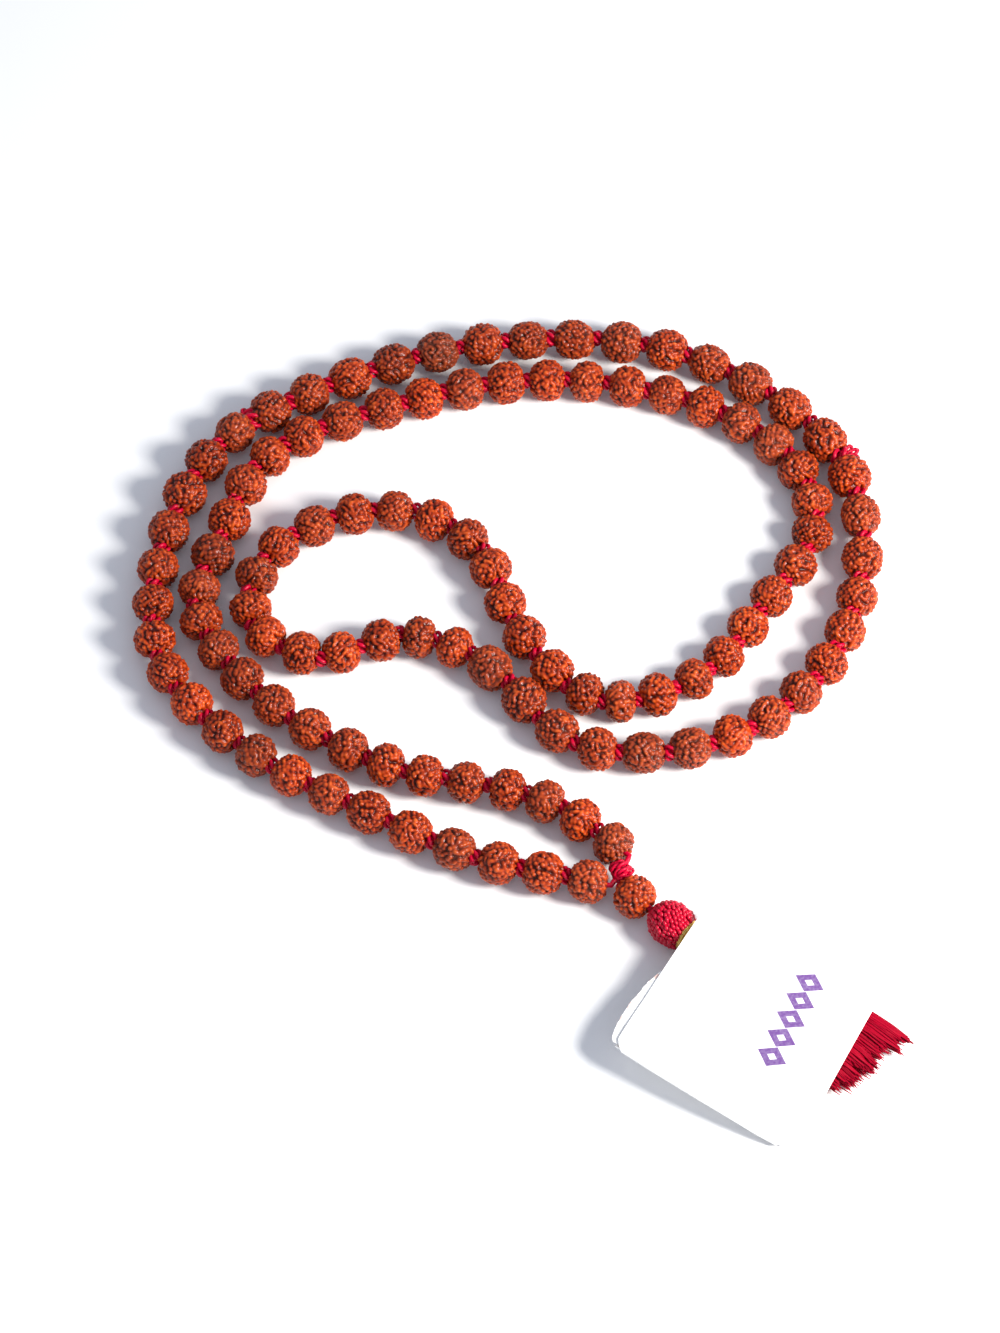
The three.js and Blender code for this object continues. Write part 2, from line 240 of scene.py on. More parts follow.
def pendant_point(along, left, up):
    """From the ball's centre: along the pendant, to its left, and up. Takes arrays."""
    along, left, up = (np.asarray(v, float)[..., None] for v in (along, left, up))
    return BALL + along * PENDANT + left * PENDANT_LEFT + up * UP


def tag_point(x, y, z):
    """In the tag's frame: along the crease, across from it, and above the table. Takes arrays."""
    x, y, z = (np.asarray(v, float)[..., None] for v in (x, y, z))
    return TAG_CORNER + x * TAG_ALONG + y * TAG_ACROSS + z * UP


def body_of_bead(k):
    return "coil" if any(first <= k <= last for first, last in RUNS) else f"bead_{k:03d}"


def body_of_knot(k):
    if ARC_FOLD[0] < k < ARC_FOLD[1]:
        return "right_arc"
    if k > END_FOLD[1]:
        return "tail_front"
    if k < TAIL_FOLD[0] or k > TAIL_FOLD[1]:
        return "tail_rear"
    return "coil"


# ------------------------------------------------------------------ camera, light and table
CAMERA_AIM = np.array([-1, 11.5, BEAD_RADIUS]) * MM
CAMERA_ELEVATION = math.radians(60)
CAMERA_DISTANCE = 1.1067  # metres
SENSOR_HEIGHT = 24
FOCAL_PIXELS, IMAGE_PIXELS = 6000, 1333  # the photo's focal length and its height
LAMP_PLACE, LAMP_AIM = (0.34, -0.12, 0.29), (0, 0.005, 0)
LAMP_SIZE = 0.18
LAMP_WATTS = 4.2
LAMP_COLOUR = (1.0, 0.98, 0.94)
SKY_COLOUR = (0.80, 0.86, 1.0, 1)
SKY_STRENGTH = 0.63
TABLE_HALF = 2000  # millimetres, like the height of its top
TABLE_TOP = -0.05


def add_camera():
    data = bpy.data.cameras.new("camera")
    data.sensor_fit = "VERTICAL"
    data.sensor_height = SENSOR_HEIGHT
    data.lens = SENSOR_HEIGHT * FOCAL_PIXELS / IMAGE_PIXELS
    data.clip_start, data.clip_end = 0.01, 20
    camera = bpy.data.objects.new("camera", data)
    towards = np.array([0, -math.cos(CAMERA_ELEVATION), math.sin(CAMERA_ELEVATION)])
    camera.location = CAMERA_AIM + CAMERA_DISTANCE * towards
    camera.rotation_euler = (math.pi / 2 - CAMERA_ELEVATION, 0, 0)
    bpy.context.scene.collection.objects.link(camera)
    bpy.context.scene.camera = camera


def add_lamp():
    data = bpy.data.lights.new("key_light", "AREA")
    data.shape = "DISK"
    data.size = LAMP_SIZE
    data.energy = LAMP_WATTS
    data.color = LAMP_COLOUR
    lamp = bpy.data.objects.new("key_light", data)
    lamp.location = LAMP_PLACE
    lamp.rotation_euler = (Vector(LAMP_AIM) - Vector(LAMP_PLACE)).to_track_quat("-Z", "Y").to_euler()
    bpy.context.scene.collection.objects.link(lamp)


def add_surroundings():
    scene = bpy.context.scene
    scene.view_settings.view_transform = "Standard"
    world = bpy.data.worlds.new("world")
    world.use_nodes = True
    background = world.node_tree.nodes["Background"]
    background.inputs["Color"].default_value = SKY_COLOUR
    background.inputs["Strength"].default_value = SKY_STRENGTH
    scene.world = world
    add_lamp()
    floor_material = bpy.data.materials.new("table")
    floor_material.use_nodes = True
    shader = floor_material.node_tree.nodes["Principled BSDF"]
    shader.inputs["Base Color"].default_value = (0.9, 0.9, 0.9, 1)
    shader.inputs["Roughness"].default_value = 0.9
    shader.inputs["Specular IOR Level"].default_value = 0.1
    corners = [(x * TABLE_HALF, y * TABLE_HALF, TABLE_TOP) for x, y in ((-1, -1), (1, -1), (1, 1), (-1, 1))]
    add_piece("table_top", corners, [np.array([[0, 1, 2, 3]])], floor_material, smooth=False)


add_camera()
add_surroundings()


# ------------------------------------------------------------------ materials
class Shader:
    """A material's nodes, with short ways to add and join them."""

    def __init__(self, name, **inputs):
        self.material = bpy.data.materials.new(name)
        self.material.use_nodes = True
        self.tree = self.material.node_tree
        self.bsdf = self.tree.nodes["Principled BSDF"]
        for key, value in inputs.items():
            self.bsdf.inputs[key.replace("_", " ")].default_value = value

    def node(self, kind, inputs=None, **settings):
        node = self.tree.nodes.new(kind)
        for key, value in settings.items():
            setattr(node, key, value)
        for key, value in (inputs or {}).items():
            self.put(node.inputs[key], value)
        return node

    def put(self, socket, value):
        if isinstance(value, bpy.types.NodeSocket):
            self.tree.links.new(value, socket)
        else:
            socket.default_value = value

    def attribute(self, name):
        return self.node("ShaderNodeAttribute", attribute_name=name).outputs["Fac"]

    def math(self, operation, *values, clamp=False):
        node = self.node("ShaderNodeMath", operation=operation, use_clamp=clamp)
        for socket, value in zip(node.inputs, values):
            self.put(socket, value)
        return node.outputs[0]

    def noise(self, scale, detail):
        vector = self.node("ShaderNodeTexCoord").outputs["Object"]
        inputs = {"Vector": vector, "Scale": scale, "Detail": detail}
        return self.node("ShaderNodeTexNoise", inputs).outputs["Fac"]

    def ramp(self, value, stops):
        node = self.node("ShaderNodeValToRGB", {"Fac": value})
        elements = node.color_ramp.elements
        while len(elements) < len(stops):
            elements.new(0.5)
        for element, (position, colour) in zip(elements, stops):
            element.position = position
            element.color = (*colour, 1)
        return node.outputs["Color"]

    def mix(self, factor, a, b, blend="MIX"):
        node = self.node("ShaderNodeMix", data_type="RGBA", blend_type=blend)
        for socket, value in zip((node.inputs[0], node.inputs[6], node.inputs[7]), (factor, a, b)):
            self.put(socket, (*value, 1) if isinstance(value, tuple) and len(value) == 3 else value)
        return node.outputs[2]

    def span(self, value, low, high, to_low=0.0, to_high=1.0):
        inputs = {"Value": value, "From Min": low, "From Max": high, "To Min": to_low, "To Max": to_high}
        return self.node("ShaderNodeMapRange", inputs).outputs["Result"]

    def finish(self, colour, roughness, height, distance, strength):
        self.put(self.bsdf.inputs["Base Color"], colour)
        self.put(self.bsdf.inputs["Roughness"], roughness)
        bump = self.node("ShaderNodeBump", {"Height": height, "Distance": distance, "Strength": strength})
        self.put(self.bsdf.inputs["Normal"], bump.outputs["Normal"])
        return self.material


def bead_material():
    s = Shader("rudraksha", Coat_Weight=0.07, Coat_Roughness=0.15, Specular_IOR_Level=0.20)
    crest, tone, hue = s.attribute("crest"), s.attribute("tone"), s.attribute("hue")
    mottle = s.noise(1100, 4)
    level = s.math("ADD", crest, s.span(mottle, 0.3, 0.7, -0.13, 0.13), clamp=True)
    # Colour runs from near black at crest 0 to bright orange at crest 1: painted shade between the bumps, in
    # the clefts and round the drilled ends.
    colour = s.ramp(level, [
        (0.0, (0.040, 0.002, 0.0005)), (0.3, (0.12, 0.008, 0.001)), (0.55, (0.28, 0.022, 0.002)),
        (0.8, (0.46, 0.052, 0.005)), (1.0, (0.64, 0.105, 0.014)),
    ])
    duller = s.mix(0.6, colour, (0.15, 0.045, 0.022))
    colour = s.mix(hue, colour, duller)
    grey = s.node("ShaderNodeCombineColor", {0: tone, 1: tone, 2: tone}).outputs[0]
    colour = s.mix(1.0, colour, grey, "MULTIPLY")
    roughness = s.span(s.noise(2500, 2), 0.3, 0.7, 0.24, 0.40)
    return s.finish(colour, roughness, s.noise(3800, 3), 0.05 * MM, 0.7)


def thread_material(name, light, dark, gloss, grain):
    s = Shader(name, Specular_IOR_Level=0.16, Coat_Weight=gloss, Coat_Roughness=0.22)
    fibre = s.noise(grain, 3)
    blotch = s.noise(700, 2)
    colour = s.mix(s.span(fibre, 0.3, 0.7), dark, light)
    colour = s.mix(s.span(blotch, 0.35, 0.65, 0.0, 0.3), colour, dark)
    return s.finish(colour, s.span(fibre, 0.3, 0.7, 0.28, 0.42), fibre, 0.05 * MM, 0.8)


def tassel_material():
    s = Shader("tassel_silk", Specular_IOR_Level=0.05)
    tone = s.attribute("tone")
    fibre = s.noise(6000, 2)
    level = s.math("ADD", tone, s.span(fibre, 0.3, 0.7, -0.2, 0.2), clamp=True)
    colour = s.mix(level, (0.17, 0.0004, 0.009), (0.31, 0.001, 0.016))
    return s.finish(colour, s.span(fibre, 0.3, 0.7, 0.42, 0.58), fibre, 0.03 * MM, 0.6)


def gold_material():
    s = Shader("gold_thread", Metallic=1.0)
    fibre = s.noise(7000, 2)
    colour = s.mix(s.span(fibre, 0.35, 0.65), (0.50, 0.30, 0.05), (0.92, 0.68, 0.22))
    return s.finish(colour, s.span(fibre, 0.3, 0.7, 0.22, 0.42), fibre, 0.03 * MM, 0.7)


# The stamp on the tag: a row of plain lozenges, in the tag's frame.
STAMP_START = (23.6, 28.5)
STAMP_STEP = (0.38, -4.0)
STAMP_HALF = (2.7, 1.9)
STAMP_STROKE = 0.62
STAMP_MARKS = 5


def card_material():
    s = Shader("card", Specular_IOR_Level=0.25)
    x, y = s.attribute("tag_x"), s.attribute("tag_y")
    ink = None
    for i in range(STAMP_MARKS):
        across = s.math("ABSOLUTE", s.math("SUBTRACT", x, STAMP_START[0] + i * STAMP_STEP[0]))
        down = s.math("ABSOLUTE", s.math("SUBTRACT", y, STAMP_START[1] + i * STAMP_STEP[1]))
        slant = s.math("ADD", s.math("DIVIDE", across, STAMP_HALF[0]), s.math("DIVIDE", down, STAMP_HALF[1]))
        off = s.math("ABSOLUTE", s.math("MULTIPLY", s.math("SUBTRACT", slant, 0.72), STAMP_HALF[1] * 0.87))
        mark = s.span(off, STAMP_STROKE * 0.85, STAMP_STROKE * 1.15, 1.0, 0.0)
        ink = mark if ink is None else s.math("MAXIMUM", ink, mark)
    mottle = s.span(s.noise(1800, 3), 0.3, 0.6, 0.9, 1.0)
    ink = s.math("MULTIPLY", ink, s.math("MULTIPLY", s.attribute("printed"), mottle))
    fibre = s.noise(1500, 5)
    paper = s.mix(s.span(fibre, 0.3, 0.7), (0.90, 0.89, 0.87), (0.96, 0.955, 0.94))
    torn = s.math("MULTIPLY", s.attribute("torn"), s.span(s.noise(1200, 3), 0.48, 0.62))
    paper = s.mix(s.math("MULTIPLY", torn, 0.75), paper, (0.62, 0.36, 0.30))
    colour = s.mix(ink, paper, (0.14, 0.062, 0.235))
    return s.finish(colour, s.span(fibre, 0.3, 0.7, 0.75, 0.9), fibre, 0.03 * MM, 0.5)


BEAD = bead_material()
THREAD = thread_material("crimson_thread", (0.68, 0.001, 0.042), (0.36, 0.0005, 0.016), 0.05, 5200)
CROCHET = thread_material("crimson_crochet", (0.66, 0.001, 0.036), (0.38, 0.0005, 0.016), 0.30, 4200)
SILK = tassel_material()
GOLD = gold_material()
CARD = card_material()


# ------------------------------------------------------------------ thread
def thread_line(first, last):
    return KNOTS[first : last + 1]


def add_thread(name, line, body):
    path = resample(line, 0.7)
    mesh = Mesh()
    mesh.add(*tube(path, THREAD_RADIUS * 0.92, 12, plies=3, lay=2.6))
    piece = mesh.piece(name, THREAD)
    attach(piece, body)
    return piece, path


END_NEAR = [JOIN, KNOTS[0], KNOTS[1]]
END_FAR = [*thread_line(END_FOLD[1], BEAD_COUNT), JOIN]
GURU_BACK = GURU - (GURU_LENGTH + KNOT_GAP) / 2 * PENDANT
THREADS = {
    "thread_outer_left": (thread_line(TAIL_FOLD[0], ARC_FOLD[0]), "coil", True),
    "thread_outer_right": (thread_line(*ARC_FOLD), "right_arc", True),
    "thread_inner": (thread_line(ARC_FOLD[1], TAIL_FOLD[1]), "coil", True),
    "thread_tail_near": (thread_line(END_FOLD[0], TAIL_FOLD[0]), "tail_rear", False),
    "thread_tail_far": (thread_line(TAIL_FOLD[1], END_FOLD[1]), "tail_rear", False),
    "thread_end_near": (END_NEAR, "tail_front", False),
    "thread_end_far": (END_FAR, "tail_front", False),
    "thread_guru": ([GURU_BACK, GURU + (BALL_PITCH - 3.5) * PENDANT], "guru", False),
}
for node, (line, body, long) in THREADS.items():
    cord, path = add_thread(f"{node}_cord", line, body)
    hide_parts(node)


# ------------------------------------------------------------------ knots
def torus_knot(turns, lobes, reach, bulge, height, steps):
    """A thread that winds about a ring, which looks like a small tight knot, about its own axis Z."""
    t = np.linspace(0, 2 * math.pi, steps, endpoint=False)
    out = reach + bulge * np.cos(lobes * t)
    return np.stack([out * np.cos(turns * t), out * np.sin(turns * t), height * np.sin(lobes * t)], axis=1)


KNOT = torus_knot(2, 5, 0.64, 0.42, 0.62, 60)
# Radii of the strands that the small knots, the joining knot and the slack loops are made of.
KNOT_STRAND = 0.36
JOIN_STRAND = 0.31
LOOP_STRAND = 0.33
COIL_MIDDLE = np.array([0, 40, BEAD_RADIUS])
# Knots that were tied again and are larger than the others. Two of them have slack loops.
LOOSE = {19: 1.5, 20: 1.12, 33: 1.45, 34: 1.1}
LOOPED = {19, 33}


def add_knot(mesh, centre, axis, size, strand):
    rotation = basis(axis, RNG.uniform(0, 2 * math.pi))
    stretch = np.array([1, 1, RNG.uniform(0.8, 1.0)]) * size + RNG.normal(0, 0.05, 3)
    line = (KNOT * stretch) @ rotation.T + centre
    mesh.add(*tube(line, strand, 8, closed=True, plies=2, lay=1.1, relief=0.1))


def add_loops(mesh, centre, outwards):
    """Three slack loops of thread that stand out of a retied knot."""
    x, y, _ = outwards
    for turn in (-0.5, 0.15, 0.75):
        side = basis(UP, math.atan2(y, x) + turn)[:, 0]
        cos, sin = math.cos(turn), math.sin(turn)
        out = unit(np.array([cos * x - sin * y, sin * x + cos * y, RNG.uniform(0.0, 0.35)]))
        t = np.linspace(0, 2 * math.pi, 26, endpoint=False)
        reach, width = RNG.uniform(0.7, 1.1), RNG.uniform(0.35, 0.55)
        across = unit(np.cross(out, UP + 0.4 * side))
        loop = centre + out * 0.8 + reach * (0.75 - np.cos(t))[:, None] * out
        loop = loop + width * np.sin(t)[:, None] * across
        mesh.add(*tube(loop, LOOP_STRAND, 8, closed=True, plies=2, lay=1.1))


def add_knots():
    meshes = {}
    for k in range(1, BEAD_COUNT):
        part = "outer" if k <= ARC_FOLD[0] else "inner"
        key = (body_of_knot(k), part)
        mesh = meshes.setdefault(key, Mesh())
        axis = KNOTS[k + 1] - KNOTS[k - 1]
        scale = LOOSE.get(k, 1.0) * RNG.uniform(0.92, 1.08)
        centre = KNOTS[k] + np.array([*RNG.normal(0, 0.12, 2), 0.3])
        add_knot(mesh, centre, axis, 1.25 * scale, KNOT_STRAND)
        if k in LOOSE:
            add_knot(mesh, centre + RNG.normal(0, 0.3, 3), axis, 0.8 * scale, KNOT_STRAND)
        if k in LOOPED:
            outwards = unit(KNOTS[k] - COIL_MIDDLE)
            add_loops(mesh, centre + outwards * 0.6, outwards)
    for (body, part), mesh in meshes.items():
        piece = mesh.piece(f"knots_{body}_{part}", THREAD)
        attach(piece, body)


def add_join_knot():
    """Where the two ends meet: a thick knot of several wraps, drawn down on the guru bead."""
    mesh = Mesh()
    axis = unit(GURU_BACK - JOIN)
    for shift, size in ((-0.9, 1.3), (-0.3, 1.6), (0.4, 1.65), (1.0, 1.3)):
        add_knot(mesh, JOIN + axis * shift + UP * 0.1, axis, size, JOIN_STRAND)
    for side in (-1, 1):
        tilt = unit(axis + 0.5 * side * np.cross(axis, UP))
        add_knot(mesh, JOIN + 0.9 * side * np.cross(axis, UP), tilt, 1.25, JOIN_STRAND)
    core = resample([JOIN - 1.5 * axis, JOIN + 2.2 * axis], 0.6)
    mesh.add(*tube(core, 0.95, 12, plies=3, lay=3))
    piece = mesh.piece("join_knot_wraps", THREAD)
    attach(piece, "tail_front")
    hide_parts("join_knot")


add_knots()
add_join_knot()


# ------------------------------------------------------------------ beads
def cube_sphere(n):
    """Unit directions and quads of a cube's faces drawn out onto a sphere, n quads to each edge."""
    index, points, faces = {}, [], []
    steps = ((0, 0), (1, 0), (1, 1), (0, 1))

    def corner(face, i, j):
        a, b = (math.tan((2 * v / n - 1) * math.pi / 4) for v in (i, j))
        p = [(1, a, b), (-1, b, a), (b, 1, a), (a, -1, b), (a, b, 1), (b, a, -1)][face]
        key = tuple(round(c, 6) for c in p)
        if key not in index:
            index[key] = len(points)
            points.append(p)
        return index[key]

    for face in range(6):
        for i in range(n):
            for j in range(n):
                faces.append([corner(face, i + across, j + along) for across, along in steps])
    return unit(np.array(points)), [np.array(faces)]


SPHERE, SPHERE_FACES = cube_sphere(DETAIL)


def spread_points(count, rng, jitter):
    """Unit directions spread evenly over a sphere, then shaken."""
    i = np.arange(count) + 0.5
    z = 1 - 2 * i / count
    angle = i * math.pi * (3 - math.sqrt(5)) + rng.uniform(0, 2 * math.pi)
    flat = np.sqrt(1 - z**2)
    points = np.stack([flat * np.cos(angle), flat * np.sin(angle), z], axis=1)
    return unit(points + rng.normal(0, jitter, points.shape))


MUKHIS = 5
CLEFT_HALF = 0.2  # half a cleft's width
CLEFT_DEPTH = 0.2
BUMPS = 205
BUMP_SIZE = (0.50, 0.76)
BUMP_RISE = 0.74
BUMP_SINK = 0.56  # the ground between bumps lies this far under the seed's outline
RIDGE_SHARE = 0.35  # this many of the bumps are drawn out into ridges
RIDGE_STRETCH = (1.3, 2.0)
ROUND_STRETCH = (0.85, 1.15)
BARREL_POWER = 2.25  # 2 is an ellipsoid, and more has squarer shoulders
HOLE_REACH, HOLE_SLOPE, HOLE_DEPTH = 1.35, 0.7, 1.1  # the dip round each drilled end


def rudraksha(radius, half, rng):
    """One seed about its own axis Z: its vertices, and each one's height, 0 in a cleft to 1 on a crest. The
    colour turns this value into painted shade in the hollows.
    """
    flat = np.hypot(SPHERE[:, 0], SPHERE[:, 1])
    powers = (flat / radius) ** BARREL_POWER + (np.abs(SPHERE[:, 2]) / half) ** BARREL_POWER
    reach = powers ** (-1 / BARREL_POWER)
    base = SPHERE * reach[:, None]

    # Crowded round bumps, each its own size and height, a third of them drawn out into short ridges.
    centres = spread_points(BUMPS, rng, 0.045)
    turn = rng.uniform(0, math.pi, BUMPS)
    ridges = rng.random(BUMPS) < RIDGE_SHARE
    drawn = np.where(ridges, rng.uniform(*RIDGE_STRETCH, BUMPS), rng.uniform(*ROUND_STRETCH, BUMPS))
    frames = np.array([basis(c, a) for c, a in zip(centres, turn)])
    size = rng.uniform(*BUMP_SIZE, BUMPS)
    mean = (radius * 2 + half) / 3
    u = SPHERE @ frames[:, :, 0].T * mean / (size * drawn)
    v = SPHERE @ frames[:, :, 1].T * mean / (size / np.sqrt(drawn))
    distance = np.where(SPHERE @ centres.T > 0, u**2 + v**2, 9.0)
    dome = np.clip(1 - distance, 0, 1) ** 0.75 * rng.uniform(0.7, 1.0, BUMPS)
    height = dome.max(1)

    # Five wavy clefts from end to end.
    azimuth = np.arctan2(SPHERE[:, 1], SPHERE[:, 0])
    start = rng.uniform(0, 2 * math.pi)
    wave = rng.uniform(0.05, 0.12) * np.sin(3 * SPHERE[:, 2] + rng.uniform(0, 6))
    turns = (azimuth - start + wave) * MUKHIS / (2 * math.pi)
    off = np.abs(turns - np.round(turns)) * 2 * math.pi / MUKHIS * flat * radius
    cleft = np.exp(-((off / CLEFT_HALF) ** 2)) * np.clip((flat - 0.12) / 0.2, 0, 1)

    # The drilled ends, and a slow unevenness over the whole seed.
    across = np.hypot(base[:, 0], base[:, 1])
    hole = np.clip((HOLE_REACH - across) / HOLE_SLOPE, 0, 1) ** 1.5
    lumps = spread_points(7, rng, 0.3)
    uneven = ((np.clip(SPHERE @ lumps.T, 0, 1) ** 3) * rng.normal(0, 0.09, 7)).sum(1)

    proud = BUMP_RISE * height - BUMP_SINK - CLEFT_DEPTH * cleft * (1 - 0.5 * height) + uneven
    verts = base + SPHERE * proud[:, None]
    verts[:, 2] -= np.sign(SPHERE[:, 2]) * hole * HOLE_DEPTH
    # The crest value is lowered in the clefts and round the drilled ends, so the colour paints shade into
    # these hollows.
    crest = np.clip(height * (1 - 0.35 * cleft) - 0.15 * hole, 0, 1)
    return verts, crest


LONGEST_BEAD = 8.4
BEAD_GAP = 0.75  # between the ends of two seeds on the string
# Seeds drawn wider, narrower, darker, brighter or browner than the others. The others differ a little, at
# random.
WIDE = {3, 9, 46, 47, 92, 94, 98, 102}
NARROW = {19, 26, 30, 32, 35, 60, 81}
DARK = {9, 10, 18, 23, 24, 50, 62, 67, 75, 94, 97, 98}
BRIGHT = {8, 11, 12, 39, 42, 48, 52, 54, 64, 69, 72, 84, 87, 107}
BROWN = {9, 24, 43, 78, 108}


def add_bead(name, centre, direction, length, k):
    rng = np.random.default_rng(1000 + k)
    radius = BEAD_RADIUS - 0.04 + rng.uniform(-0.13, 0.08) + 0.12 * (k in WIDE) - 0.22 * (k in NARROW)
    verts, crest = rudraksha(radius, length / 2, rng)
    tone = rng.normal(0.97, 0.07) - 0.20 * (k in DARK) + 0.12 * (k in BRIGHT)
    hue = np.clip(rng.normal(0.16, 0.18) + 0.5 * (k in BROWN) - 0.2 * (k in BRIGHT), 0, 1)
    rotation = basis(direction, rng.uniform(0, 2 * math.pi))
    attributes = {"crest": crest, "tone": np.full(len(verts), tone), "hue": np.full(len(verts), hue)}
    piece = add_piece(name, verts @ rotation.T + centre, SPHERE_FACES, BEAD, attributes)
    return piece


def add_beads():
    for k in range(1, BEAD_COUNT + 1):
        line = KNOTS[k] - KNOTS[k - 1]
        pitch = np.linalg.norm(line)
        length = min(pitch - BEAD_GAP, LONGEST_BEAD)
        piece = add_bead(f"seed_{k:03d}", (KNOTS[k] + KNOTS[k - 1]) / 2, line, length, k)
        run = next((r for r in RUNS if r[0] <= k <= r[1]), None)
        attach(piece, body_of_bead(k))
        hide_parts(f"bead_run_{run[0]:03d}_{run[1]:03d}" if run else f"bead_{k:03d}")
    guru = add_bead("seed_guru", GURU, PENDANT, GURU_LENGTH + 0.4, 0)
    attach(guru, "guru_bead")
    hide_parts("guru_bead")


add_beads()


# ------------------------------------------------------------------ woven ball and gold binding
# The ball's half width at distances from its centre along the pendant.
BALL_AT = [-4.0, -3.75, -3.0, -1.8, -0.3, 1.0, 2.4, 3.5]
BALL_HALF = [0, 0.9, 2.2, 3.2, 3.72, 3.74, 3.55, 3.1]
STITCH_PITCH = 0.80
STITCH_RADIUS = 0.37
STITCH_REACH = 0.38  # half a stitch's length
CORE_INSET = 0.35  # the core lies this far under the stitches
CORE_SIDES = 28
HELIX_STEPS = 26  # points in one turn of the gold thread
# Each layer of the binding: its start, end, radius and pitch, then its thread's radius and lay.
BINDING = [(3.6, 6.4, 2.72, 0.5, 0.26, 0.9), (3.75, 6.3, 2.86, 0.72, 0.2, 0.8)]


def add_ball():
    """A core under rows of slanted stitches that run round the pendant's line."""
    outline = resample([(half, at, 0) for half, at in zip(BALL_HALF, BALL_AT)], STITCH_PITCH)
    mesh = Mesh()
    angle = np.linspace(0, 2 * math.pi, CORE_SIDES, endpoint=False)
    insides = [(half - CORE_INSET, at) for half, at, _ in outline if half > CORE_INSET + 0.05]
    rings = [pendant_point(at, half * np.cos(angle), half * np.sin(angle)) for half, at in insides]
    mesh.add(np.concatenate(rings), lofted(len(rings), CORE_SIDES))
    slopes = unit(np.gradient(outline, axis=0))
    for row, ((half, at, _), (out, forward, _)) in enumerate(zip(outline, slopes)):
        count = max(3, int(round(2 * math.pi * half / STITCH_PITCH)))
        lean = RNG.uniform(0.6, 1.4)
        for i in range(count):
            middle = (i + 0.5 * (row % 2) + RNG.normal(0, 0.16)) * 2 * math.pi / count
            s = np.linspace(-1, 1, 7)
            turn = middle + lean * s * 0.24 / max(half, 0.8)
            swell = 0.24 * (1 - s * s) - 0.20 + RNG.normal(0, 0.10)
            radius = half + s * STITCH_REACH * out + swell * forward
            along = at + s * STITCH_REACH * forward - swell * out
            line = pendant_point(along, radius * np.cos(turn), radius * np.sin(turn))
            thickness = STITCH_RADIUS * (1 - 0.25 * s * s)
            mesh.add(*tube(line, thickness, 8, plies=2, lay=0.7, relief=0.08))
    piece = mesh.piece("woven_ball_stitches", CROCHET)
    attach(piece, "ball")
    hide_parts("woven_ball")


def helix(start, end, radius, pitch):
    """A line wound round the pendant's line, from one distance along it to another."""
    turns = (end - start) / pitch
    t = np.linspace(0, turns, int(turns * HELIX_STEPS) + 1)
    angle = 2 * math.pi * t
    return pendant_point(start + t * pitch, radius * np.cos(angle), radius * np.sin(angle))


def add_binding():
    mesh = Mesh()
    for start, end, radius, pitch, strand, lay in BINDING:
        mesh.add(*tube(helix(start, end, radius, pitch), strand, 8, plies=2, lay=lay))
    core = np.array([pendant_point(a, 0, 0) for a in np.linspace(3.4, 6.5, 5)])
    mesh.add(*tube(core, 2.6, 24))
    piece = mesh.piece("gold_binding_wraps", GOLD)
    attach(piece, "tassel")
    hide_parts("gold_binding")


add_ball()
add_binding()


# ------------------------------------------------------------------ tassel
OUTLINE_AT = [3.4, 7.2, 9, 16, 28, 40, 47]
OUTLINE_HALF = [1.9, 1.9, 3.4, 5.4, 7.4, 8.9, 9.4]
DEPTH_AT = [3.4, 9, 16, 30, 40, 47]  # half its thickness
DEPTH = [1.8, 2.6, 2.8, 2.7, 2.1, 1.3]
SINK_AT = [3.4, 9, 30, 40, 47]  # how its middle comes down to the table
SINK = [0, -0.3, -0.5, -1.1, -1.9]
TIP_SHARE = [-1, -0.65, -0.4, -0.1, 0.25, 0.6, 1]  # from the fan's right edge to its left
TIP_AT = [42.2, 43.4, 44.2, 45.4, 44.8, 45.6, 45.6]
SWAY = 0.9  # how far the fan's end drifts to its left
STRANDS = 1350
STRAND_POINTS = 14
STRAND_RADIUS = 0.17
TUFTS = 19
LOWEST = -3.3  # how far below the ball's centre the strands may lie
FAN_LENGTH = 45
FAN_CORE = (3.6, 41.5)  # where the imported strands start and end
FAN_CORE_INSET = 0.35
FAN_CORE_RINGS, FAN_CORE_SIDES = 30, 24


def tassel_core():
    """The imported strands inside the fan, as one flattened body."""
    at = np.linspace(*FAN_CORE, FAN_CORE_RINGS)[:, None]
    angle = np.linspace(0, 2 * math.pi, FAN_CORE_SIDES, endpoint=False)[None, :]
    half = np.interp(at, OUTLINE_AT, OUTLINE_HALF) - FAN_CORE_INSET
    depth = np.interp(at, DEPTH_AT, DEPTH) - FAN_CORE_INSET
    left = half * np.cos(angle) + SWAY * (at / FAN_LENGTH) ** 2
    up = np.maximum(depth * np.sin(angle) + np.interp(at, SINK_AT, SINK), LOWEST)
    verts = pendant_point(at + 0 * angle, left, up).reshape(-1, 3)
    return verts, lofted(FAN_CORE_RINGS, FAN_CORE_SIDES)


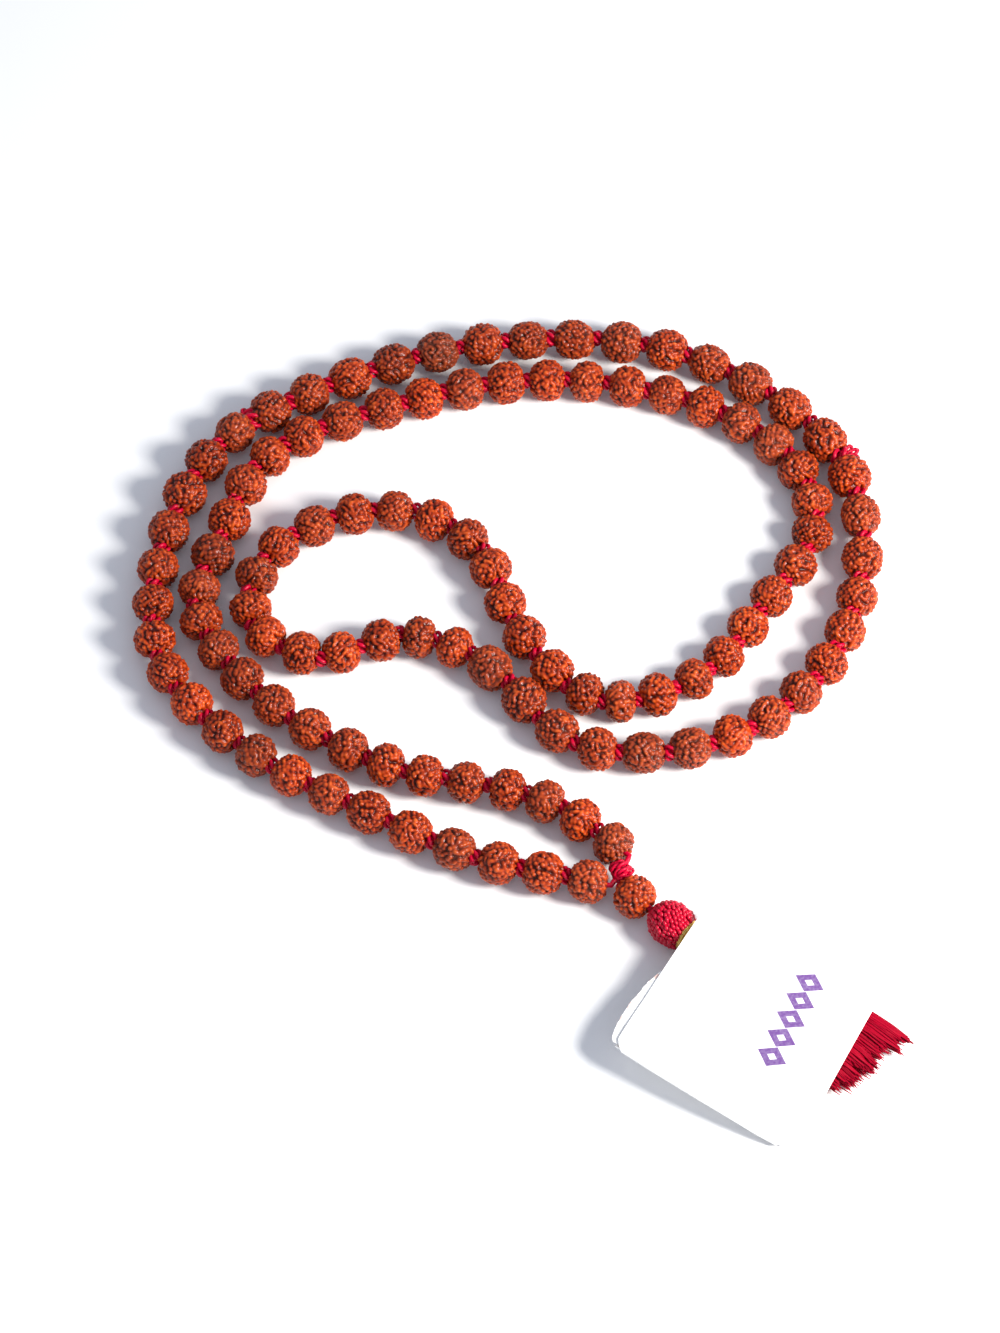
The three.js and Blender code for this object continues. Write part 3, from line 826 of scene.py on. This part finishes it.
def add_tassel():
    """Fine strands that fan out flat from the binding and end in ragged tufts."""
    mesh = Mesh()
    rng = np.random.default_rng(7)
    mesh.add(*tassel_core(), tone=0.5)
    tufts = np.sort(np.linspace(-0.97, 0.97, TUFTS) + rng.normal(0, 0.02, TUFTS))
    tuft_reach = rng.normal(0, 1.1, TUFTS)
    for _ in range(STRANDS):
        share = rng.uniform(-1, 1)
        tuft = int(np.argmin(np.abs(tufts - share)))
        level = rng.uniform(-1, 1)
        tip = np.interp(share, TIP_SHARE, TIP_AT) + tuft_reach[tuft] + rng.normal(0, 0.75)
        at = np.linspace(3.5, tip, STRAND_POINTS)
        half = np.interp(at, OUTLINE_AT, OUTLINE_HALF)
        drift = np.cumsum(rng.normal(0, 0.008, STRAND_POINTS))
        gather = np.clip((at - tip + 5) / 5, 0, 1) ** 1.3 * 0.45
        across = (share + drift) * (1 - gather) + tufts[tuft] * gather
        depth = np.interp(at, DEPTH_AT, DEPTH)
        round_off = np.sqrt(np.clip(1 - 0.92 * across**2, 0.05, 1))
        up = level * depth * round_off + np.interp(at, SINK_AT, SINK)
        left = across * half + SWAY * (at / FAN_LENGTH) ** 2
        line = pendant_point(at, left, np.maximum(up, LOWEST))
        radius = STRAND_RADIUS * np.clip((tip - at) / 0.8, 0.5, 1)
        mesh.add(*tube(line, radius, 5), tone=np.clip(rng.normal(0.62, 0.22), 0, 1))
    piece = mesh.piece("tassel_strands", SILK)
    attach(piece, "tassel")
    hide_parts("tassel")


add_tassel()


# ------------------------------------------------------------------ card tag
# How far the crease stands above or below its rows, along it from the ball: it sags to the table.
SAG_AT = [0, 8, 16, 23, 29, 34, 37.5]
SAG = [1.9, 1.1, 0.1, -1.2, -2.7, -3.9, -4.2]
SAG_SHIFT = [0.2, -0.1, -0.1, 0.2, 0.6, 1.2, 1.4]  # and how far it moves away across the table
CREASE_REACH = 11
LEAF_THICKNESS = 0.28
LEAF_COLUMNS = 91
FAR_EDGE_SKEW = 0.055  # the edge away from the ball isn't cut quite square
FAR_CORNER = 4.5  # how far its corner at the crease is rounded off


def card_piece(name, rows, near_edge, end=None, printed=False, torn=False):
    """A leaf of card from rows of (y, z) across the crease; near_edge(y) says where each row starts in x."""
    rows = np.array(rows, float)
    along = np.concatenate([[0], np.cumsum(np.linalg.norm(np.diff(rows, axis=0), axis=1))])
    at = np.unique(np.concatenate([along[along < 2.5], np.arange(2.5, along[-1], 0.5), [along[-1]]]))
    y, z = (np.interp(at, along, rows[:, i]) for i in (0, 1))
    z = np.where(at < 2.5, z, np.convolve(np.pad(z, 6, mode="edge"), np.ones(13) / 13, "valid"))
    slope = unit(np.stack([np.gradient(y), np.gradient(z)], axis=1))
    start = np.array([near_edge(v) for v in y])
    rounded = FAR_CORNER * np.clip(1 - (y + 0.2) / FAR_CORNER, 0, 1) ** 2
    stop = TAG_WIDTH - FAR_EDGE_SKEW * np.maximum(y, 0) - rounded if end is None else np.full(len(y), end)
    x = start[:, None] + (stop - start)[:, None] * np.linspace(0, 1, LEAF_COLUMNS)
    ripple = 0.10 * np.sin(x / 6.1 + 0.8) * np.sin(np.clip(y, 0, 40) / 9)[:, None]
    share = np.clip(1 - y / CREASE_REACH, 0, 1.02)[:, None]
    fall = np.interp(x, SAG_AT, SAG) * share
    shift = (np.interp(x, SAG_AT, SAG_SHIFT) * share)[..., None] * np.array([0, 1, 0])
    grids = []
    for side in (0.5, -0.5):
        offset = side * LEAF_THICKNESS * slope
        height = np.maximum((z + offset[:, 0])[:, None] + ripple + fall, 0.2 + side * LEAF_THICKNESS)
        grids.append(tag_point(x, (y - offset[:, 1])[:, None] + 0 * x, height) + shift)
    m, n = x.shape
    size = m * n
    index = np.arange(size).reshape(m, n)
    quads = np.stack([index[:-1, :-1], index[:-1, 1:], index[1:, 1:], index[1:, :-1]], axis=2).reshape(-1, 4)
    border = np.concatenate([index[0], index[1:, -1], index[-1, -2::-1], index[-2:0:-1, 0]])
    after = np.roll(border, -1)
    rim = np.stack([after, border, size + border, size + after], axis=1)
    ragged = np.abs(x - start[:, None]) < 0.5
    attributes = {
        "tag_x": np.tile(x.ravel(), 2), "tag_y": np.tile(np.repeat(y, n), 2),
        "printed": np.concatenate([np.full(size, float(printed)), np.zeros(size)]),
        "torn": np.tile((ragged * float(torn)).ravel(), 2),
    }
    verts = np.concatenate([grid.reshape(-1, 3) for grid in grids])
    piece = add_piece(name, verts, [np.concatenate([quads, size + quads[:, ::-1], rim])], CARD, attributes)
    piece.data.set_sharp_from_angle(angle=math.radians(50))
    return piece


COVER_ROWS = [
    (0.5, 4.55), (0.15, 4.55), (-0.02, 4.62), (-0.08, 4.75), (-0.02, 4.88), (0.15, 4.97), (0.6, 5.16),
    (1.5, 5.5), (5, 6.7), (11, 7.8), (20, 8.2), (30, 8.1), (36, 7.3),
]
BACK_ROWS = [(0.5, 4.15), (3, 2.6), (8, 0.9), (11, 0.25), (33, 0.25)]
LINING_DROP = 0.46
LINING_ROWS = [(y, z - LINING_DROP) for y, z in [(0.8, 5.28), (1.5, 5.5), (5, 6.7), (11, 7.8), (18.5, 8.13)]]


def cover_edge(y):
    """The near edge, with the corner at the crease rounded."""
    return 1.9 * max(0.0, 1 - (max(y, -0.2) + 0.2) / 2.1) ** 2


def lining_edge(y):
    """The lining was pasted in askew, so a sliver of it shows beside the cover, with a torn edge."""
    tear = 0.06 * math.sin(3.1 * y) * math.sin(1.3 * y + 1) + 0.03 * math.sin(9 * y)
    return float(np.interp(y, [0.8, 1.7, 4, 8.7, 14, 18.5], [-0.7, -1.4, -1.75, -1.85, -1.2, 0.2])) + tear


def add_tag():
    cover = card_piece("tag_cover_leaf", COVER_ROWS, cover_edge, printed=True)
    back = card_piece("tag_back_leaf", BACK_ROWS, lambda y: 0.0)
    lining = card_piece("tag_cover_lining", LINING_ROWS, lining_edge, end=2.5, torn=True)
    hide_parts("tag_cover")
    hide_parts("tag_back")
    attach(back, "tag")
    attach(lining, "tag_cover")
    start, end = tag_point(TAG_WIDTH / 2, [-0.1, 1.3], [4.75, 5.4]) * MM
    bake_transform(cover, "tag", "tag_cover", start=tuple(start), end=tuple(end))


add_tag()
